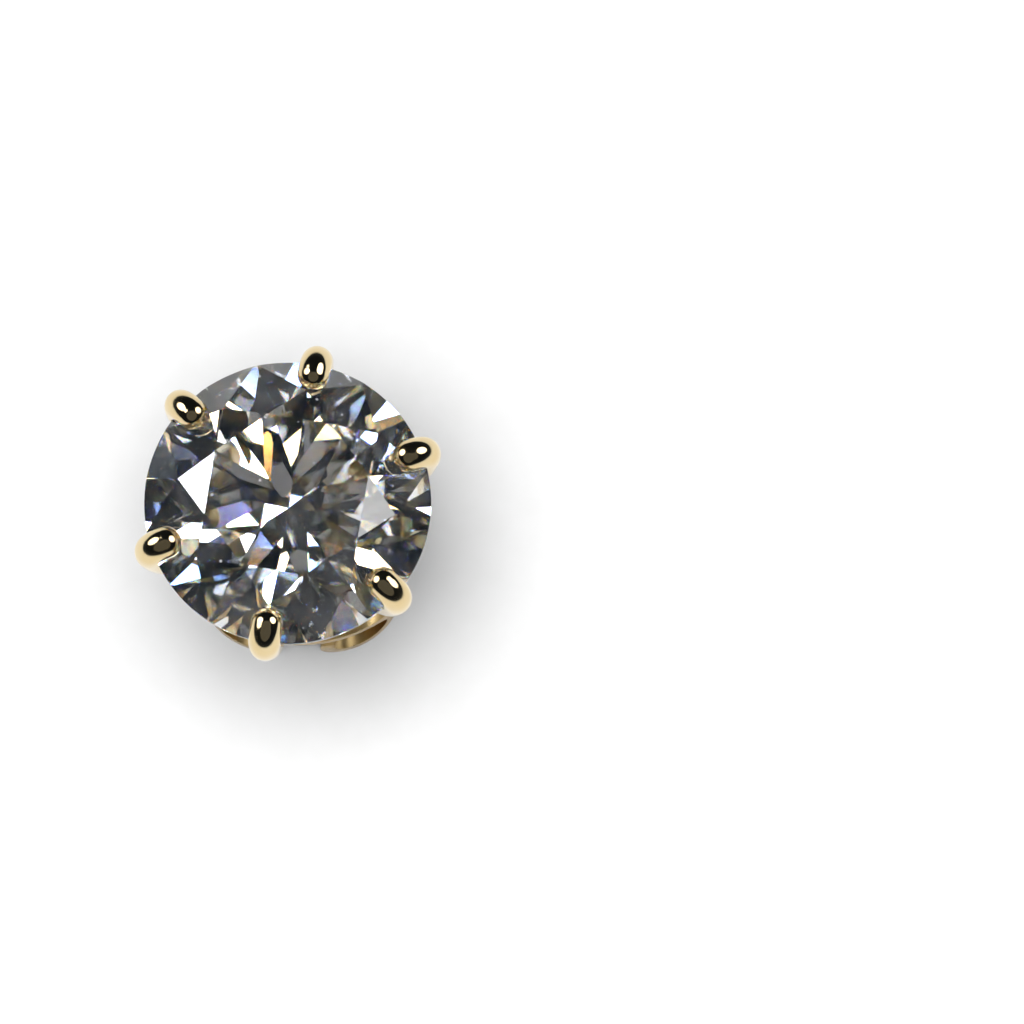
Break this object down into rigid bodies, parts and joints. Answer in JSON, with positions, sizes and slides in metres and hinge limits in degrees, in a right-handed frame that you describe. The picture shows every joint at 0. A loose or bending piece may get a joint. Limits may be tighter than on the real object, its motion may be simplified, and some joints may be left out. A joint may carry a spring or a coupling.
{
  "type": "stud earring",
  "caption": "Stud earring: a round brilliant stone held by claws in a gold basket, on a straight ear post with a scroll back.",
  "frame": {"origin": "On the floor under the middle of the post, where the scroll back stands.", "axes": "+Z runs up the post to the stone's table, +X is to the right and +Y up when the stone is seen from the front."},
  "size_m": [0.007, 0.0072, 0.0122],
  "materials": {
    "diamond": "polished facets",
    "yellow_gold": "bright polish",
    "back_gold": "rolled sheet, bright polish"
  },
  "bodies": {
    "root": {"stone": "diamond", "setting": "yellow_gold", "clutch": "back_gold"}
  },
  "joints": []
}
